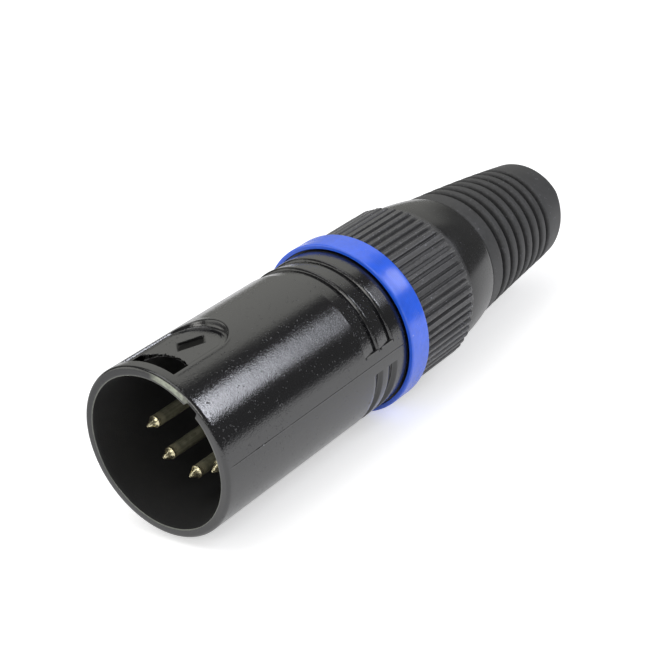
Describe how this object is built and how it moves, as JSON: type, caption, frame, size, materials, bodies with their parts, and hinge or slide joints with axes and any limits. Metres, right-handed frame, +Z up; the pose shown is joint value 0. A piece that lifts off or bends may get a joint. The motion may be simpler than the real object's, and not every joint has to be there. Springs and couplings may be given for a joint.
{
  "type": "cable plug",
  "caption": "Cable plug for audio and lighting leads: shell with latch window and contact pins, coding ring, fluted clamp nut over a cable chuck, and ribbed bend relief.",
  "frame": {"origin": "centre of the mouth of the shell, on its front plane", "axes": "+X runs along the plug from the mouth to the cable, +Z points up through the latch window, +Y completes a right-handed frame"},
  "size_m": [0.0714, 0.0204, 0.0204],
  "materials": {
    "shell_lacquer": "gloss black lacquer on a zinc casting",
    "ring_blue": "satin blue",
    "nut_plastic": "satin black, fine grain",
    "boot_rubber": "matt black",
    "chuck_plastic": "black, moulded",
    "insert_plastic": "black, moulded",
    "contact_metal": "plated, lightly tarnished"
  },
  "bodies": {
    "shell_body": {"shell": "shell_lacquer", "coding_ring": "ring_blue", "contact_insert": "insert_plastic", "ground_contact": "contact_metal", "contact_pin_1": "contact_metal", "contact_pin_2": "contact_metal", "contact_pin_3": "contact_metal", "contact_pin_4": "contact_metal", "contact_pin_5": "contact_metal"},
    "chuck_body": {"cable_chuck": "chuck_plastic"},
    "nut_body": {"clamp_nut": "nut_plastic", "bend_relief_boot": "boot_rubber"}
  },
  "joints": [
    {"name": "chuck_slide", "type": "slide", "parent": "shell_body", "child": "chuck_body", "axis": [1, 0, 0], "range_m": [0, 0.0064]},
    {"name": "nut_turn", "type": "hinge", "parent": "chuck_body", "child": "nut_body", "pos_m": [0.0335, 0, 0], "axis": [1, 0, 0], "range_deg": [0, 1800]}
  ],
  "couplings": [
    {"joint": "chuck_slide", "follows": "nut_turn", "m_per_rad": 0.00019894}
  ]
}
